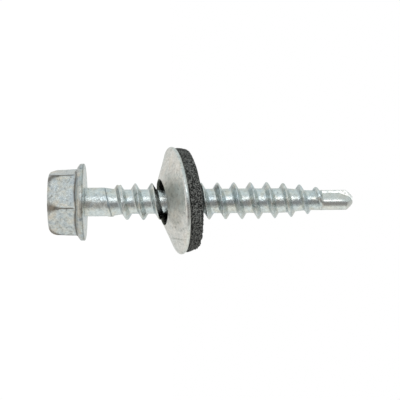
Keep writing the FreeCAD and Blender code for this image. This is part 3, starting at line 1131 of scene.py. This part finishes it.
def plated_steel(name, plating):
    """Zinc plated steel: patchy tint, fine crystalline grain, dark specks and soft gloss."""
    material, nodes, surface = new_material(name)
    shader = nodes.add("ShaderNodeBsdfPrincipled")
    nodes.link(shader.outputs["BSDF"], surface)
    vector = nodes.coordinates()
    patches = nodes.noise(vector, PATCH_NOISE)
    fine = nodes.noise(vector, GRAIN_NOISE)
    specks = nodes.noise(vector, SPECK_NOISE)
    dents = nodes.noise(vector, DENT_NOISE)
    shader.inputs["Metallic"].default_value = 1.0
    nodes.link(steel_colour(nodes, plating, patches, fine, specks), shader.inputs["Base Color"])
    nodes.link(steel_roughness(nodes, plating, fine), shader.inputs["Roughness"])
    normal = nodes.bump(fine, GRAIN_BUMP, plating.relief)
    normal = nodes.bump(specks, SPECK_BUMP, plating.relief, normal)
    normal = nodes.bump(dents, DENT_BUMP, plating.relief, normal)
    nodes.link(normal, shader.inputs["Normal"])
    return material


def grained_rubber():
    """Dark rubber with a granular surface and pale dust in the grain."""
    material, nodes, surface = new_material("grained_rubber")
    shader = nodes.add("ShaderNodeBsdfPrincipled")
    nodes.link(shader.outputs["BSDF"], surface)
    vector = nodes.coordinates()
    grain = nodes.noise(vector, RUBBER_NOISE)
    dust = nodes.noise(vector, DUST_NOISE)
    base = nodes.ramp(grain, RUBBER_STOPS)
    dusty = nodes.mix(nodes.ramp(dust, DUST_STOPS), base, DUST_COLOUR)
    # Painted shade: the hole turns near black
    colour = nodes.mix(nodes.painted_shade_and_dirt(), dusty, HOLE_SHADE_COLOUR)
    nodes.link(colour, shader.inputs["Base Color"])
    shader.inputs["Specular IOR Level"].default_value = RUBBER_SPECULAR
    shader.inputs["Roughness"].default_value = RUBBER_ROUGHNESS
    normal = nodes.bump(grain, RUBBER_BUMP)
    normal = nodes.bump(dust, DUST_BUMP, normal=normal)
    nodes.link(normal, shader.inputs["Normal"])
    return material


# Studio

CAMERA_PLACE = (-0.14, -214.3, 19.55)
CAMERA_ROLL = math.radians(0.49)
CAMERA_LENS = 148.5
CAMERA_SENSOR = 36.0
# Colours of the tent and the dark room by degrees about the screw's axis, 0 behind the camera
TENT_STOPS = (
    (-180, (0.78, 0.80, 0.78)),
    (-160, (0.65, 0.68, 0.67)),
    (-78, (0.76, 0.80, 0.78)),
    (-58, (0.66, 0.70, 0.68)),
    (-49, (0.27, 0.27, 0.262)),
    (5, (0.225, 0.228, 0.235)),
    (16, (0.80, 0.92, 0.96)),
    (31, (0.80, 0.88, 0.92)),
    (47, (0.49, 0.55, 0.57)),
    (76, (0.67, 0.75, 0.75)),
    (110, (0.58, 0.65, 0.66)),
    (160, (0.61, 0.65, 0.64)),
    (180, (0.78, 0.80, 0.78)),
)
# Share of the tent's light from straight down at 0 to straight up at 1
TENT_FALL = [(0.0, 1.0), (0.62, 1.0), (0.84, 0.86), (1.0, 0.76)]
FLOOR_HALF = 900.0
FLOOR_PAPER = (0.94, 0.94, 0.94, 1)
FLOOR_GLOW = 1.06
FLOOR_GLOW_SHARE = 0.93
FLOOR_NEAR_COLOUR = (0.73, 0.73, 0.71)
FLOOR_NEAR = 22.0
FLOOR_FAR = 62.0
KEY_PLACE = (-92, -215, 30)
KEY_TARGET = (0, 0, 20)
KEY_SIZE = (36, 220)
KEY_POWER = 0.05
WHITE = (1, 1, 1, 1)


def add_camera():
    """Level view of the standing screw, rolled so that the screw lies across the image."""
    data = bpy.data.cameras.new("camera")
    data.lens = CAMERA_LENS
    data.sensor_width = CAMERA_SENSOR
    data.clip_start = 0.01
    item = add_object("camera", data)
    sine, cosine = math.sin(CAMERA_ROLL), math.cos(CAMERA_ROLL)
    right = Vector((sine, 0, cosine))
    up = Vector((-cosine, 0, sine))
    back = Vector((0, -1, 0))
    place = Matrix((right, up, back)).transposed().to_4x4()
    place.translation = Vector(CAMERA_PLACE) * MM
    item.matrix_world = place
    bpy.context.scene.camera = item


def tent_colour(nodes, split):
    """Colour of the tent and the dark room in the direction of a split vector."""
    angle = nodes.add("ShaderNodeMath", operation="ARCTAN2")
    nodes.link(nodes.scaled(split.outputs["X"], -1), angle.inputs[0])
    nodes.link(nodes.scaled(split.outputs["Y"], -1), angle.inputs[1])
    share = nodes.share_between(angle.outputs[0], -math.pi, math.pi)
    return nodes.ramp(share, [((degrees + 180) / 360, colour) for degrees, colour in TENT_STOPS])


def studio_world():
    """White tent all round, with the dark room behind the camera as metal sees it."""
    world = bpy.data.worlds.new("studio")
    bpy.context.scene.world = world
    world.use_nodes = True
    nodes = Nodes(world.node_tree)
    output = nodes.add("ShaderNodeOutputWorld")
    split = nodes.add("ShaderNodeSeparateXYZ")
    nodes.link(nodes.add("ShaderNodeTexCoord").outputs["Generated"], split.inputs["Vector"])
    fall = nodes.ramp(nodes.share_between(split.outputs["Z"], -1, 1), TENT_FALL)
    tent = nodes.add("ShaderNodeBackground")
    nodes.link(nodes.mix(1.0, tent_colour(nodes, split), fall, "MULTIPLY"), tent.inputs["Color"])
    white = nodes.add("ShaderNodeBackground")
    white.inputs["Color"].default_value = WHITE
    seen = nodes.add("ShaderNodeLightPath").outputs["Is Camera Ray"]
    shown = nodes.mix_shaders(seen, tent.outputs[0], white.outputs[0])
    nodes.link(shown, output.inputs["Surface"])


def floor_to_camera(nodes, path):
    """Paper that glows to the camera, so that it renders white and keeps the shadow."""
    paper = nodes.add("ShaderNodeBsdfDiffuse")
    paper.inputs["Color"].default_value = FLOOR_PAPER
    glow = nodes.add("ShaderNodeEmission")
    glow.inputs["Color"].default_value = WHITE
    glow.inputs["Strength"].default_value = FLOOR_GLOW
    share = nodes.scaled(path.outputs["Is Camera Ray"], FLOOR_GLOW_SHARE)
    return nodes.mix_shaders(share, paper.outputs[0], glow.outputs[0])


def floor_to_metal(nodes):
    """What the metal mirrors: a light floor near the screw and the tent beyond."""
    place = nodes.add("ShaderNodeTexCoord").outputs["Object"]
    split = nodes.add("ShaderNodeSeparateXYZ")
    nodes.link(place, split.inputs["Vector"])
    reach = nodes.add("ShaderNodeVectorMath", operation="LENGTH")
    nodes.link(place, reach.inputs[0])
    far = nodes.share_between(reach.outputs["Value"], FLOOR_NEAR * MM, FLOOR_FAR * MM)
    mirrored = nodes.add("ShaderNodeEmission")
    colour = nodes.mix(far, FLOOR_NEAR_COLOUR, tent_colour(nodes, split))
    nodes.link(colour, mirrored.inputs["Color"])
    return mirrored.outputs[0]


def floor_material():
    """White to the camera with the shadow kept, and the tent to metal."""
    material, nodes, surface = new_material("white_floor")
    path = nodes.add("ShaderNodeLightPath")
    glossy = path.outputs["Is Glossy Ray"]
    shown = nodes.mix_shaders(glossy, floor_to_camera(nodes, path), floor_to_metal(nodes))
    nodes.link(shown, surface)
    return material


def add_floor():
    """White sweep under the head."""
    half = FLOOR_HALF
    corners = [(-half, -half, 0), (half, -half, 0), (half, half, 0), (-half, half, 0)]
    mesh = bpy.data.meshes.new("floor")
    mesh.from_pydata([Vector(corner) * MM for corner in corners], [], [(0, 1, 2, 3)])
    item = add_object("floor", mesh)
    item.data.materials.append(floor_material())


def add_key_lamp():
    """Soft rectangular lamp over the camera's side of the screw."""
    data = bpy.data.lights.new("key", "AREA")
    data.shape = "RECTANGLE"
    data.size, data.size_y = (length * MM for length in KEY_SIZE)
    data.energy = KEY_POWER
    item = add_object("key", data)
    item.location = Vector(KEY_PLACE) * MM
    aim = (Vector(KEY_TARGET) - Vector(KEY_PLACE)).to_track_quat("-Z", "Y")
    item.rotation_euler = aim.to_euler()
    item.visible_camera = False


def main():
    """Build the dressed pieces, the studio and the camera."""
    pieces = (
        (make_head(), "screw", plated_steel("zinc_head", HEAD_PLATING)),
        (make_shank(), "screw", plated_steel("zinc_thread", THREAD_PLATING)),
        (make_point(), "screw", plated_steel("zinc_point", POINT_PLATING)),
        (make_washer(), "dished_washer", plated_steel("zinc_washer", WASHER_PLATING)),
        (make_seal(), "epdm_seal", grained_rubber()),
    )
    for item, node, material in pieces:
        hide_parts(node)
        item.data.materials.append(material)
    add_floor()
    studio_world()
    add_key_lamp()
    add_camera()
    bpy.context.scene.view_settings.view_transform = "Standard"


main()
